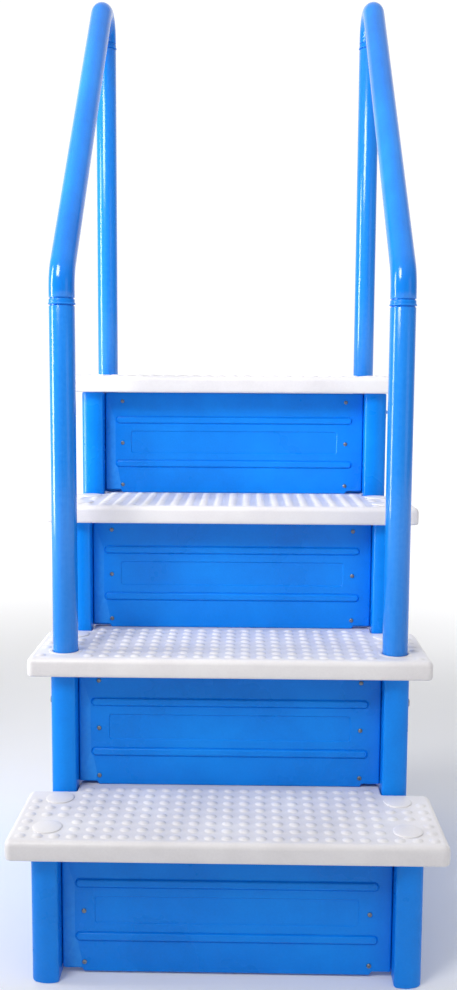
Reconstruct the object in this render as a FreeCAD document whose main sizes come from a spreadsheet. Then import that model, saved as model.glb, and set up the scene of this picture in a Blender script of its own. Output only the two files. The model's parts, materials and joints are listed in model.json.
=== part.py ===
import FreeCAD, Part
import math
import os
import Sketcher

# A free-standing pool step unit with two grab rails, in millimetres.
#
# Four moulded treads climb away from the swimmer, towards +Y. Each tread sits on two hollow side
# panels, and a riser closes the gap below its front edge. Plugs lock the treads to the panels, and
# the front legs of the two rails take the place of the front plugs of the second tread. The rear
# legs stand in flanges that are screwed to the pool deck behind the top tread.
#
# X runs across the treads, Y from front to back and Z up. The origin lies on the pool floor, in the
# middle of the unit's outline.

SIZES = [
    # Treads
    ("step_count", 4, "treads, one run and one rise apart"),
    ("rail_step", 2, "tread that carries the front legs of the rails"),
    ("tread_width", 762, "across the unit"),
    ("tread_run", 203, "from one front edge to the next"),
    ("tread_rise", 264, "from one walking surface to the next"),
    ("tread_thickness", 36, "height of the front face"),
    ("tread_wall", 4, "rim, socket walls and ribs"),
    ("tread_skin", 5, "under the walking surface"),
    ("tread_corner", 12, "plan radius of the outer corners"),
    ("tread_edge", 9, "radius along the top edge"),
    ("tread_rib_pitch", 112, "between ribs below the walking surface"),
    ("bump_pitch", 29.7, "grid of the anti-slip bumps, both ways"),
    ("bump_radius", 9.5, "bump, at the walking surface"),
    ("bump_height", 3, "bump, above the walking surface"),
    ("bump_columns", 19, "across the middle of the tread"),
    ("bump_rows", 8, "from front to back"),
    ("bump_first_row", 24, "behind the front edge"),
    # Side panels
    ("panel_gap", 584, "clear width between the two panels"),
    ("panel_cover", 3.05, "side panel beyond a plug bore, on each side"),
    ("panel_wall", 3, "wall of the hollow moulding"),
    ("panel_edge", 5, "radius of the upright outer edges"),
    ("nosing", 20, "tread overhang in front of the panel"),
    ("floor_gap", 3, "lowest riser above the floor"),
    ("lip_width", 56, "riser lip, inwards from the panel"),
    ("lip_thickness", 6, "riser lip"),
    # Risers
    ("riser_setback", 35, "riser face behind the panel front"),
    ("riser_depth", 22, "riser, over its returned edges"),
    ("riser_wall", 4, "skin of the riser"),
    ("riser_corner", 5, "corner cut"),
    ("swage_length", 532, "raised rib, over its round ends"),
    ("swage_width", 14, "raised rib"),
    ("swage_height", 3, "rib in front of the riser face"),
    ("swage_low", 66, "lower rib above the riser's foot"),
    ("swage_high", 165, "upper rib above the riser's foot"),
    ("field_length", 466, "sunk rectangle between the ribs"),
    ("field_width", 50, "sunk rectangle"),
    ("field_sink", 1.5, "depth of the rectangle"),
    # Rails
    ("tube_diameter", 48.3, "rail tube, outside"),
    ("tube_wall", 3.2, "rail tube"),
    ("front_socket", 60, "socket centre behind the tread's front edge"),
    ("rear_socket", 188, "socket centre behind the tread's front edge"),
    ("front_joint", 1185, "top of the front leg above the floor"),
    ("rear_joint", 1837, "top of the rear leg above the floor"),
    ("elbow_radius", 75, "centre line of the lower bend"),
    ("elbow_lead", 17, "straight tube below the lower bend"),
    ("crown_radius", 45, "centre line of the top bend"),
    ("crown_lead", 8, "straight tube below the top bend"),
    ("collar_height", 15, "visible band between two tubes"),
    ("collar_rim", 0.8, "bead at the band's foot, beyond the tube"),
    ("collar_rim_height", 4, "bead at the band's foot"),
    ("collar_tongue", 70, "collar's tongue down inside the leg"),
    # Sockets, plugs and their fits
    ("socket_play", 0.6, "tread hole beyond the tube, on the radius"),
    ("spigot_play", 0.15, "spigot in tube or bore, on the radius"),
    ("rest_gap", 1, "between neighbouring mouldings"),
    ("socket_wall", 2.5, "round the plug bores in the panel"),
    ("bore_depth", 120, "plug bores in the panel"),
    ("spigot_depth", 100, "leg spigot, below the tread"),
    ("spigot_reach", 90, "leg spigot, up inside the tube"),
    ("plug_head", 1.85, "plug's domed head beyond the tube, on the radius"),
    ("plug_rise", 3.5, "middle of the head above the tread"),
    ("plug_edge", 1, "rim of the head above the tread"),
    ("plug_length", 30, "plug, below the tread"),
    ("plug_wall", 3, "hollow plugs, spigots and collars"),
    # Deck flanges
    ("flange_radius", 63.5, "base plate"),
    ("flange_plate", 8, "base plate"),
    ("flange_bevel", 3, "edge of the base plate"),
    ("flange_height", 48, "over the hub"),
    ("hub_top", 5.85, "hub beyond the tube at its top, on the radius"),
    ("hub_foot", 9.85, "hub beyond the tube at the plate, on the radius"),
    ("hub_floor", 4, "under the tube"),
    ("drain_radius", 6, "hole under the tube"),
    ("flange_circle", 100, "pitch circle of the deck screw holes, diameter"),
    ("flange_hole", 7, "deck screw hole, diameter"),
    ("flange_gap", 8, "flange behind the side panel"),
    ("deck_gap", 4, "flange top below the top tread"),
    # Fasteners
    ("screw_inset", 40, "riser screws from the riser's ends"),
    ("screw_low", 18, "lower riser screws above the foot"),
    ("screw_middle", 113, "middle riser screws above the foot"),
    ("screw_high", 207, "upper riser screws above the foot"),
    ("screw_shank", 4.2, "riser screw, diameter"),
    ("screw_head", 9.5, "riser screw head, diameter"),
    ("screw_head_height", 2.4, "riser screw head"),
    ("screw_boss", 14, "boss behind each riser screw, diameter"),
    ("bolt_shank", 8, "rail bolts, diameter"),
    ("bolt_play", 0.2, "bolt holes beyond the bolt, on the radius"),
    ("bolt_flats", 13, "hexagon heads and nuts, across flats"),
    ("bolt_head", 5.3, "height of a hexagon head"),
    ("nut_height", 6.5, "height of a hexagon nut"),
    ("rail_bolt_drop", 60, "rail bolt below the tread"),
    ("rail_bolt_length", 24, "rail bolt below its head"),
    ("flange_bolt_height", 28, "flange bolt above the deck"),
    ("flange_bolt_end", 2, "flange bolt past its nut"),
]


class Size:
    """A number, together with the sheet expression that it comes from."""

    def __init__(self, value, text):
        self.value = float(value)
        self.text = text

    def joined(self, sign, other, value):
        text = other.text if isinstance(other, Size) else repr(float(other))
        return Size(value, f"({self.text} {sign} {text})")

    def __add__(self, other):
        return self.joined("+", other, self.value + plain(other))

    def __sub__(self, other):
        return self.joined("-", other, self.value - plain(other))

    def __mul__(self, other):
        return self.joined("*", other, self.value * plain(other))

    def __truediv__(self, other):
        return self.joined("/", other, self.value / plain(other))

    def __neg__(self):
        return self * -1


def plain(item):
    return item.value if isinstance(item, Size) else float(item)


doc = FreeCAD.newDocument("pool_steps")
sheet = doc.addObject("Spreadsheet::Sheet", "sizes")
for row, (alias, value, note) in enumerate(SIZES, start=1):
    sheet.set(f"A{row}", alias)
    sheet.set(f"B{row}", str(value))
    sheet.set(f"C{row}", note)
    sheet.setAlias(f"B{row}", alias)
doc.recompute()

S = {alias: Size(sheet.get(alias), f"sizes.{alias}") for alias, _, _ in SIZES}
NOUGHT = Size(0, "0")
SIDES = {"left": -1, "right": 1}
RIGHT_ANGLE = math.pi / 2


# Places that several pieces share. Steps count from 1, at the bottom.

top_step = int(S["step_count"].value)
rail_step = int(S["rail_step"].value)
steps = range(1, top_step + 1)


def tread_front(step):
    return S["tread_run"] * (step - 1)


def tread_top(step):
    return S["floor_gap"] + S["tread_rise"] * step


def seat_top(step):
    """Top of the side panels, under a tread."""
    return tread_top(step) - S["tread_thickness"]


tube_radius = S["tube_diameter"] / 2
tube_bore = tube_radius - S["tube_wall"]
spigot_radius = tube_bore - S["spigot_play"]
bore_radius = spigot_radius + S["spigot_play"]
panel_thickness = bore_radius * 2 + S["panel_cover"] * 2
panel_inside = S["panel_gap"] / 2
panel_outside = panel_inside + panel_thickness
rail_x = panel_inside + panel_thickness / 2
riser_height = S["tread_rise"] - S["tread_thickness"] - S["rest_gap"]
riser_face = S["nosing"] + S["riser_setback"]
riser_back = riser_face + S["riser_depth"]
panel_rear = tread_front(top_step) + S["tread_run"] + S["nosing"]
front_leg_y = tread_front(rail_step) + S["front_socket"]
rear_leg_y = panel_rear + S["flange_gap"] + S["flange_radius"]
unit_depth = rear_leg_y + S["flange_radius"]
deck_top = seat_top(top_step) - S["deck_gap"] - S["flange_height"]
rear_leg_foot = deck_top + S["hub_floor"]
elbow_foot = S["front_joint"] + S["collar_height"]
crown_foot = S["rear_joint"] + S["collar_height"]
hub_top = tube_radius + S["hub_top"]
hub_foot = tube_radius + S["hub_foot"]
hole_radius = tube_radius + S["socket_play"]
spigot_bore = spigot_radius - S["plug_wall"]
bolt_hole = S["bolt_shank"] / 2 + S["bolt_play"]
screw_x = panel_inside - S["screw_inset"]
screw_rows = [S["screw_low"], S["screw_middle"], S["screw_high"]]

parts = []


# Sketches and features

def new_body(label, x=NOUGHT, y=NOUGHT, z=NOUGHT):
    """A body whose own origin lies at x, y, z of the unit; y counts from the lowest tread's front."""
    body = doc.addObject("PartDesign::Body", label)
    body.Label = label
    body.setExpression(".Placement.Base.x", x.text)
    body.setExpression(".Placement.Base.y", (y - unit_depth / 2).text)
    body.setExpression(".Placement.Base.z", z.text)
    parts.append(body)
    return body


def new_sketch(body, role, offset=NOUGHT, across=NOUGHT):
    """A sketch on an origin plane, offset along the plane's normal and along the sketch's X."""
    sketch = body.newObject("Sketcher::SketchObject", f"{body.Name}_outline")
    plane = next(item for item in body.Origin.OriginFeatures if item.Role == role)
    sketch.AttachmentSupport = [(plane, "")]
    sketch.MapMode = "FlatFace"
    sketch.setExpression(".AttachmentOffset.Base.x", across.text)
    sketch.setExpression(".AttachmentOffset.Base.z", offset.text)
    return sketch


def constrain(sketch, kind, *places, size):
    index = sketch.addConstraint(Sketcher.Constraint(kind, *places, size.value))
    sketch.setExpression(f"Constraints[{index}]", size.text)


def pin(sketch, shape, point, x, y):
    constrain(sketch, "DistanceX", -1, 1, shape, point, size=x)
    constrain(sketch, "DistanceY", -1, 1, shape, point, size=y)


def vector(x, y):
    return FreeCAD.Vector(plain(x), plain(y), 0)


def add_polygon(sketch, corners):
    first = sketch.GeometryCount
    count = len(corners)
    for start, end in zip(corners, corners[1:] + corners[:1]):
        sketch.addGeometry(Part.LineSegment(vector(*start), vector(*end)))
    for place, corner in enumerate(corners):
        following = first + (place + 1) % count
        sketch.addConstraint(Sketcher.Constraint("Coincident", first + place, 2, following, 1))
        pin(sketch, first + place, 1, *corner)


def add_rectangle(sketch, x0, y0, x1, y1):
    add_polygon(sketch, [(x0, y0), (x1, y0), (x1, y1), (x0, y1)])


def add_circle(sketch, x, y, radius):
    circle = sketch.addGeometry(Part.Circle(vector(x, y), FreeCAD.Vector(0, 0, 1), radius.value))
    pin(sketch, circle, 3, x, y)
    constrain(sketch, "Radius", circle, size=radius)


def add_arc(sketch, x, y, radius, start, end):
    circle = Part.Circle(vector(x, y), FreeCAD.Vector(0, 0, 1), plain(radius))
    return sketch.addGeometry(Part.ArcOfCircle(circle, start, end))


def add_slot(sketch, x, y, length, width):
    """A level slot with round ends, about its middle."""
    radius = width / 2
    reach = (length - width) / 2
    left, right = x - reach, x + reach
    top = sketch.addGeometry(Part.LineSegment(vector(left, y + radius), vector(right, y + radius)))
    low = sketch.addGeometry(Part.LineSegment(vector(left, y - radius), vector(right, y - radius)))
    right_end = add_arc(sketch, right, y, radius, -RIGHT_ANGLE, RIGHT_ANGLE)
    left_end = add_arc(sketch, left, y, radius, RIGHT_ANGLE, 3 * RIGHT_ANGLE)
    for line, line_end, arc, arc_end in (
        (top, 2, right_end, 2),
        (top, 1, left_end, 1),
        (low, 2, right_end, 1),
        (low, 1, left_end, 2),
    ):
        sketch.addConstraint(Sketcher.Constraint("Tangent", line, line_end, arc, arc_end))
    sketch.addConstraint(Sketcher.Constraint("Equal", left_end, right_end))
    constrain(sketch, "Radius", left_end, size=radius)
    pin(sketch, left_end, 3, left, y)
    pin(sketch, right_end, 3, right, y)


def add_dome(sketch, rim, rim_height, crown_height, below):
    """Half the outline of a domed disc, from its axis out to its rim and down to `below`.

    Returns the two open ends of the outline: the lowest point of the rim and the crown.
    """
    rise = (crown_height - rim_height).value
    ball = (rim.value ** 2 + rise ** 2) / (2 * rise)
    centre = crown_height.value - ball
    slope = math.atan2(rim_height.value - centre, rim.value)
    arc = add_arc(sketch, 0, centre, ball, slope, RIGHT_ANGLE)
    side = sketch.addGeometry(Part.LineSegment(vector(rim, below), vector(rim, rim_height)))
    sketch.addConstraint(Sketcher.Constraint("PointOnObject", arc, 3, -2))
    sketch.addConstraint(Sketcher.Constraint("Coincident", side, 2, arc, 1))
    pin(sketch, side, 1, rim, below)
    pin(sketch, side, 2, rim, rim_height)
    sketch.addConstraint(Sketcher.Constraint("PointOnObject", arc, 2, -2))
    constrain(sketch, "DistanceY", -1, 1, arc, 2, size=crown_height)
    return (side, 1), (arc, 2)


def close_outline(sketch, start, end, corners):
    """Straight lines from one open end of an outline through the corners to the other end."""
    points = [sketch.getPoint(*start)] + [vector(*corner) for corner in corners]
    points.append(sketch.getPoint(*end))
    last = start
    for place, (here, there) in enumerate(zip(points, points[1:])):
        line = sketch.addGeometry(Part.LineSegment(here, there))
        sketch.addConstraint(Sketcher.Constraint("Coincident", *last, line, 1))
        if place < len(corners):
            pin(sketch, line, 2, *corners[place])
        last = (line, 2)
    sketch.addConstraint(Sketcher.Constraint("Coincident", *last, *end))


def extrude(kind, body, sketch, length=None, backwards=False, both_ways=False):
    """A pad or pocket. With no length it goes through everything."""
    feature = body.newObject(f"PartDesign::{kind}", f"{body.Name}_{kind.lower()}")
    feature.Profile = sketch
    if length is None:
        feature.Type = "ThroughAll"
    else:
        feature.setExpression("Length", length.text)
    feature.Reversed = backwards
    feature.Midplane = both_ways
    return feature


def pad(*arguments, **options):
    return extrude("Pad", *arguments, **options)


def pocket(*arguments, **options):
    return extrude("Pocket", *arguments, **options)


def revolve(body, sketch):
    feature = body.newObject("PartDesign::Revolution", f"{body.Name}_revolution")
    feature.Profile = sketch
    feature.ReferenceAxis = (sketch, ["V_Axis"])
    feature.Angle = 360
    return feature


def round_edges(body, radius, wanted):
    """Fillet the edges of the body so far for which wanted(edge) is true."""
    doc.recompute()
    base = body.Tip
    names = [f"Edge{place}" for place, edge in enumerate(base.Shape.Edges, start=1) if wanted(edge)]
    fillet = body.newObject("PartDesign::Fillet", f"{body.Name}_fillet")
    fillet.Base = (base, names)
    fillet.setExpression("Radius", radius.text)
    return fillet


def is_upright(edge):
    along = edge.Vertexes[-1].Point - edge.Vertexes[0].Point
    return abs(along.x) + abs(along.y) < 0.001 < abs(along.z)


# Treads: shells that are open below, with four sockets, stiffening ribs and a field of low bumps

wing_depth = S["tread_run"] + S["nosing"] - S["rest_gap"]
tongue_depth = S["tread_run"] + riser_back - S["rest_gap"]
tongue_half = panel_inside - S["rest_gap"]


def tread_outline(inset):
    """The wings overhang the panels; the tongue runs back between them to carry the next riser."""
    half = S["tread_width"] / 2 - inset
    tongue = tongue_half - inset
    front, wing, rear = inset, wing_depth - inset, tongue_depth - inset
    right = [(half, front), (half, wing), (tongue, wing), (tongue, rear)]
    left = [(-x, y) for x, y in reversed(right)]
    return right + left


def socket_places():
    return [(rail_x * side, S[row]) for side in SIDES.values() for row in ("front_socket", "rear_socket")]


def make_tread(step):
    body = new_body(f"tread_{step}", y=tread_front(step), z=tread_top(step))
    plan = new_sketch(body, "XY_Plane")
    add_polygon(plan, tread_outline(NOUGHT))
    pad(body, plan, S["tread_thickness"], backwards=True)
    half = S["tread_width"].value / 2
    round_edges(body, S["tread_corner"],
                lambda edge: is_upright(edge) and abs(edge.Vertexes[0].X) > half - 1)
    rear = wing_depth.value - 1
    round_edges(body, S["tread_edge"], lambda edge: edge.BoundBox.ZMin > -0.001 and edge.BoundBox.YMax < rear)

    under = new_sketch(body, "XY_Plane", -S["tread_thickness"])
    add_polygon(under, tread_outline(S["tread_wall"]))
    shell_depth = S["tread_thickness"] - S["tread_skin"]
    pocket(body, under, shell_depth, backwards=True)

    socket_walls = new_sketch(body, "XY_Plane", -S["tread_thickness"])
    for x, y in socket_places():
        add_circle(socket_walls, x, y, hole_radius + S["tread_wall"])
    pad(body, socket_walls, shell_depth)

    long_ribs = new_sketch(body, "XY_Plane", -S["tread_thickness"])
    half_rib = S["tread_wall"] / 2
    for place in range(-2, 3):
        middle = S["tread_rib_pitch"] * place
        add_rectangle(long_ribs, middle - half_rib, S["tread_wall"] / 2,
                      middle + half_rib, tongue_depth - S["tread_wall"] / 2)
    pad(body, long_ribs, shell_depth)
    cross_rib = new_sketch(body, "XY_Plane", -S["tread_thickness"])
    middle = (S["front_socket"] + S["rear_socket"]) / 2
    reach = (S["tread_width"] - S["tread_wall"]) / 2
    add_rectangle(cross_rib, -reach, middle - half_rib, reach, middle + half_rib)
    pad(body, cross_rib, shell_depth)

    sockets = new_sketch(body, "XY_Plane")
    for x, y in socket_places():
        add_circle(sockets, x, y, hole_radius)
    pocket(body, sockets)
    add_bumps(body)


def add_bumps(body):
    first_x = -S["bump_pitch"] * (S["bump_columns"] - 1) / 2
    bump_outline = new_sketch(body, "XZ_Plane", offset=-S["bump_first_row"], across=first_x)
    root = -S["tread_skin"] / 2
    rim_end, crown = add_dome(bump_outline, S["bump_radius"], NOUGHT, S["bump_height"], root)
    close_outline(bump_outline, rim_end, crown, [(NOUGHT, root)])
    bump = revolve(body, bump_outline)
    axes = {item.Role: item for item in body.Origin.OriginFeatures}
    rows_and_columns = []
    for axis, count in (("X_Axis", S["bump_columns"]), ("Y_Axis", S["bump_rows"])):
        pattern = body.newObject("PartDesign::LinearPattern", f"{body.Name}_{axis}_pattern")
        pattern.Direction = (axes[axis], [""])
        pattern.setExpression("Length", (S["bump_pitch"] * (count - 1)).text)
        pattern.setExpression("Occurrences", count.text)
        rows_and_columns.append(pattern)
    field = body.newObject("PartDesign::MultiTransform", f"{body.Name}_bumps")
    field.Originals = [bump]
    field.Transformations = rows_and_columns
    body.Tip = field


# Tread plugs: domed heads on hollow stems that reach through the tread into the panel

def make_plug(step, row, side_name):
    side = SIDES[side_name]
    where = tread_front(step) + S[f"{row}_socket"]
    body = new_body(f"tread_plug_{step}_{row}_{side_name}", rail_x * side, where, tread_top(step))
    outline = new_sketch(body, "XZ_Plane")
    head = tube_radius + S["plug_head"]
    rim_end, crown = add_dome(outline, head, S["plug_edge"], S["plug_rise"], NOUGHT)
    seat = S["rest_gap"] - S["tread_thickness"]
    tip = -(S["tread_thickness"] + S["plug_length"])
    close_outline(outline, rim_end, crown, [
        (tube_radius, NOUGHT),
        (tube_radius, seat),
        (spigot_radius, seat),
        (spigot_radius, tip),
        (spigot_bore, tip),
        (spigot_bore, -S["plug_wall"]),
        (NOUGHT, -S["plug_wall"]),
    ])
    revolve(body, outline)


# Side panels: closed hollow mouldings with one step per tread, bores for plugs and rail spigots,
# and lips on their inner faces for the risers

def panel_outline(inset):
    """The steps in side view, as points (y, z)."""
    corners = [(panel_rear - inset, inset)]
    corners.append((S["nosing"] + inset, inset))
    for step in steps:
        front = tread_front(step) + S["nosing"] + inset
        top = seat_top(step) - inset
        corners.append((front, top))
        if step < top_step:
            corners.append((front + S["tread_run"], top))
    corners.append((panel_rear - inset, seat_top(top_step) - inset))
    return corners


def make_panel(side_name):
    side = SIDES[side_name]
    body = new_body(f"side_panel_{side_name}")
    leftwards = side < 0
    outer = new_sketch(body, "YZ_Plane", panel_inside * side)
    add_polygon(outer, panel_outline(NOUGHT))
    pad(body, outer, panel_thickness, backwards=leftwards)
    fronts = [(tread_front(step) + S["nosing"]).value for step in steps]
    outer_face = panel_outside.value * side
    round_edges(body, S["panel_edge"], lambda edge: is_upright(edge)
                and abs(edge.Vertexes[0].X - outer_face) < 0.01
                and min(abs(edge.Vertexes[0].Y - front) for front in fronts) < 0.01)

    hollow = new_sketch(body, "YZ_Plane", (panel_inside + S["panel_wall"]) * side)
    add_polygon(hollow, panel_outline(S["panel_wall"]))
    pocket(body, hollow, panel_thickness - S["panel_wall"] * 2, backwards=not leftwards)

    for step in steps:
        places = [(rail_x * side, tread_front(step) + S[row]) for row in ("front_socket", "rear_socket")]
        bosses = new_sketch(body, "XY_Plane", seat_top(step))
        bores = new_sketch(body, "XY_Plane", seat_top(step))
        for x, y in places:
            add_circle(bosses, x, y, bore_radius + S["socket_wall"])
            add_circle(bores, x, y, bore_radius)
        pad(body, bosses, S["bore_depth"] + S["panel_wall"], backwards=True)
        pocket(body, bores, S["bore_depth"])
        add_lip(body, step, side)

    bolt = new_sketch(body, "YZ_Plane", panel_outside * side)
    add_circle(bolt, front_leg_y, seat_top(rail_step) - S["rail_bolt_drop"], bolt_hole)
    pocket(body, bolt, panel_thickness / 2, backwards=leftwards)


def add_lip(body, step, side):
    """The strip behind a riser's end, with the pilot holes of its screws."""
    foot = seat_top(step - 1) if step > 1 else S["floor_gap"]
    near = tread_front(step) + riser_back
    lip = new_sketch(body, "XY_Plane", foot)
    add_rectangle(lip, (panel_inside - S["lip_width"]) * side, near,
                  (panel_inside + S["panel_wall"] / 2) * side, near + S["lip_thickness"])
    pad(body, lip, seat_top(step) - S["rest_gap"] - foot)
    pilots = new_sketch(body, "XZ_Plane", -near)
    for height in screw_rows:
        add_circle(pilots, screw_x * side, riser_foot(step) + height, S["screw_shank"] / 2)
    pocket(body, pilots, S["lip_thickness"])


# Risers: shallow trays, open behind, with two raised ribs, a sunk field and six screws

def riser_foot(step):
    return S["floor_gap"] + S["tread_rise"] * (step - 1)


def make_riser(step):
    body = new_body(f"riser_{step}", y=tread_front(step) + riser_face, z=riser_foot(step))
    half = panel_inside - S["rest_gap"]
    cut = S["riser_corner"]
    face = new_sketch(body, "XZ_Plane")
    corners = [(half, cut), (half, riser_height - cut), (half - cut, riser_height)]
    corners.insert(0, (half - cut, NOUGHT))
    add_polygon(face, corners + [(-x, z) for x, z in reversed(corners)])
    pad(body, face, S["riser_depth"], backwards=True)

    tray = new_sketch(body, "XZ_Plane", -S["riser_depth"])
    wall = S["riser_wall"]
    add_rectangle(tray, wall - half, wall, half - wall, riser_height - wall)
    screws = new_sketch(body, "XZ_Plane")
    for side in SIDES.values():
        for height in screw_rows:
            add_circle(tray, screw_x * side, height, S["screw_boss"] / 2)
            add_circle(screws, screw_x * side, height, S["screw_shank"] / 2 + S["bolt_play"])
    pocket(body, tray, S["riser_depth"] - wall, backwards=True)

    swages = new_sketch(body, "XZ_Plane")
    for height in (S["swage_low"], S["swage_high"]):
        add_slot(swages, NOUGHT, height, S["swage_length"], S["swage_width"])
    pad(body, swages, S["swage_height"])
    field = new_sketch(body, "XZ_Plane")
    middle = (S["swage_low"] + S["swage_high"]) / 2
    add_rectangle(field, -S["field_length"] / 2, middle - S["field_width"] / 2,
                  S["field_length"] / 2, middle + S["field_width"] / 2)
    pocket(body, field, S["field_sink"])
    pocket(body, screws)


# Rails: straight legs, a bent upper tube and the collars that join them

def add_ring(sketch, outside, inside):
    for radius in (outside, inside):
        add_circle(sketch, NOUGHT, NOUGHT, radius)


def make_leg(label, side, y, foot, top, bolt_height=None):
    """A straight tube. A bolt height gives it a cross hole."""
    body = new_body(label, rail_x * side, y, foot)
    section = new_sketch(body, "XY_Plane")
    add_ring(section, tube_radius, tube_bore)
    pad(body, section, top - foot)
    if bolt_height is not None:
        add_cross_hole(body, bolt_height)


def add_cross_hole(body, height):
    hole = new_sketch(body, "YZ_Plane")
    add_circle(hole, NOUGHT, height, bolt_hole)
    pocket(body, hole, S["flange_radius"] * 2, both_ways=True)


def make_leg_spigot(side_name):
    """The stub that ties a front leg to the side panel, with a hole for the rail bolt."""
    side = SIDES[side_name]
    body = new_body(f"leg_spigot_{side_name}", rail_x * side, front_leg_y, seat_top(rail_step))
    section = new_sketch(body, "XY_Plane", -S["spigot_depth"])
    add_ring(section, spigot_radius, spigot_bore)
    pad(body, section, S["spigot_depth"] + S["spigot_reach"])
    hole = new_sketch(body, "YZ_Plane")
    add_circle(hole, NOUGHT, -S["rail_bolt_drop"], S["bolt_shank"] / 2)
    pocket(body, hole, tube_radius, backwards=side > 0)


def make_collar(label, side, y, foot, lead):
    """A band between two tubes, with a long tongue in the leg and a short one in the bent tube."""
    body = new_body(label, rail_x * side, y, foot)
    outline = new_sketch(body, "XZ_Plane")
    rim = tube_radius + S["collar_rim"]
    tip = S["collar_height"] + lead - S["rest_gap"]
    add_polygon(outline, [
        (spigot_bore, -S["collar_tongue"]),
        (spigot_radius, -S["collar_tongue"]),
        (spigot_radius, NOUGHT),
        (rim, NOUGHT),
        (rim, S["collar_rim_height"]),
        (tube_radius, S["collar_rim_height"]),
        (tube_radius, S["collar_height"]),
        (spigot_radius, S["collar_height"]),
        (spigot_radius, tip),
        (spigot_bore, tip),
    ])
    revolve(body, outline)


def make_upper_rail(side_name):
    """From the front collar up round the elbow, along the slope, over the crown and down."""
    body = new_body(f"upper_rail_{side_name}", rail_x * SIDES[side_name], front_leg_y, elbow_foot)
    path = new_sketch(body, "YZ_Plane")
    span = rear_leg_y - front_leg_y
    climb = crown_foot + S["crown_lead"] - elbow_foot
    elbow = vector(S["elbow_radius"], S["elbow_lead"])
    crown = vector(span - S["crown_radius"], climb)
    apart = crown - elbow
    narrowing = (S["elbow_radius"] - S["crown_radius"]).value / apart.Length
    slope = math.atan2(apart.y, apart.x) - math.asin(narrowing)
    square_to_slope = slope + RIGHT_ANGLE
    outwards = FreeCAD.Vector(math.cos(square_to_slope), math.sin(square_to_slope), 0)

    front = sketch_line(path, vector(0, 0), vector(NOUGHT, S["elbow_lead"]))
    bend = add_arc(path, elbow.x, elbow.y, S["elbow_radius"], square_to_slope, math.pi)
    incline = sketch_line(path, elbow + outwards * S["elbow_radius"].value,
                          crown + outwards * S["crown_radius"].value)
    loop = add_arc(path, crown.x, crown.y, S["crown_radius"], 0, square_to_slope)
    rear = sketch_line(path, vector(span, climb), vector(span, climb - S["crown_lead"]))
    for joint in ((front, 2, bend, 2), (bend, 1, incline, 1), (incline, 2, loop, 2), (loop, 1, rear, 1)):
        path.addConstraint(Sketcher.Constraint("Tangent", *joint))
    path.addConstraint(Sketcher.Constraint("Coincident", front, 1, -1, 1))
    path.addConstraint(Sketcher.Constraint("Vertical", front))
    path.addConstraint(Sketcher.Constraint("Vertical", rear))
    constrain(path, "DistanceY", -1, 1, front, 2, size=S["elbow_lead"])
    constrain(path, "DistanceY", -1, 1, rear, 1, size=climb)
    constrain(path, "Radius", bend, size=S["elbow_radius"])
    constrain(path, "Radius", loop, size=S["crown_radius"])
    pin(path, rear, 2, span, climb - S["crown_lead"])

    section = new_sketch(body, "XY_Plane")
    add_ring(section, tube_radius, tube_bore)
    sweep = body.newObject("PartDesign::AdditivePipe", f"{body.Name}_sweep")
    sweep.Profile = section
    sweep.Spine = (path, [f"Edge{place}" for place in range(1, path.GeometryCount + 1)])


def sketch_line(sketch, start, end):
    return sketch.addGeometry(Part.LineSegment(start, end))


# Deck flanges: a base plate, a hub for the rear leg, four holes and a cross hole

def make_flange(side_name):
    body = new_body(f"deck_flange_{side_name}", rail_x * SIDES[side_name], rear_leg_y, deck_top)
    outline = new_sketch(body, "XZ_Plane")
    base = S["flange_radius"]
    socket = tube_radius + S["spigot_play"]
    add_polygon(outline, [
        (S["drain_radius"], NOUGHT),
        (base, NOUGHT),
        (base, S["flange_plate"] - S["flange_bevel"]),
        (base - S["flange_bevel"], S["flange_plate"]),
        (hub_foot, S["flange_plate"]),
        (hub_top, S["flange_height"]),
        (socket, S["flange_height"]),
        (socket, S["hub_floor"]),
        (S["drain_radius"], S["hub_floor"]),
    ])
    revolve(body, outline)
    hole = new_sketch(body, "XY_Plane", S["flange_plate"])
    diagonal = S["flange_circle"] / 2 * math.sqrt(0.5)
    add_circle(hole, diagonal, diagonal, S["flange_hole"] / 2)
    first_hole = pocket(body, hole, S["flange_plate"])
    holes = body.newObject("PartDesign::PolarPattern", f"{body.Name}_holes")
    holes.Originals = [first_hole]
    holes.Axis = (hole, ["N_Axis"])
    holes.Angle = 360
    holes.Occurrences = 4
    body.Tip = holes
    doc.recompute()
    add_cross_hole(body, S["flange_bolt_height"])


# Fasteners: each kind is one part, a group of separate solids

def hexagon(height):
    corner = S["bolt_flats"].value / math.sqrt(3)
    corners = [FreeCAD.Vector(corner * math.cos(turn * math.pi / 3), corner * math.sin(turn * math.pi / 3), 0)
               for turn in range(7)]
    return Part.Face(Part.makePolygon(corners)).extrude(FreeCAD.Vector(0, 0, height.value))


def hexagon_bolt(length):
    """Head above the origin, shank below."""
    shank = Part.makeCylinder(S["bolt_shank"].value / 2, length.value)
    shank.translate(FreeCAD.Vector(0, 0, -length.value))
    return hexagon(S["bolt_head"]).fuse(shank).removeSplitter()


def hexagon_nut():
    bore = Part.makeCylinder(S["bolt_shank"].value / 2, S["nut_height"].value)
    return hexagon(S["nut_height"]).cut(bore)


def riser_screw():
    head = Part.makeCylinder(S["screw_head"].value / 2, S["screw_head_height"].value)
    rim = [edge for edge in head.Edges if edge.BoundBox.ZMin > S["screw_head_height"].value - 0.001]
    head = head.makeFillet(S["screw_head_height"].value * 0.6, rim)
    length = (S["riser_depth"] + S["lip_thickness"] - S["rest_gap"]).value
    shank = Part.makeCylinder(S["screw_shank"].value / 2, length)
    shank.translate(FreeCAD.Vector(0, 0, -length))
    return head.fuse(shank).removeSplitter()


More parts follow.
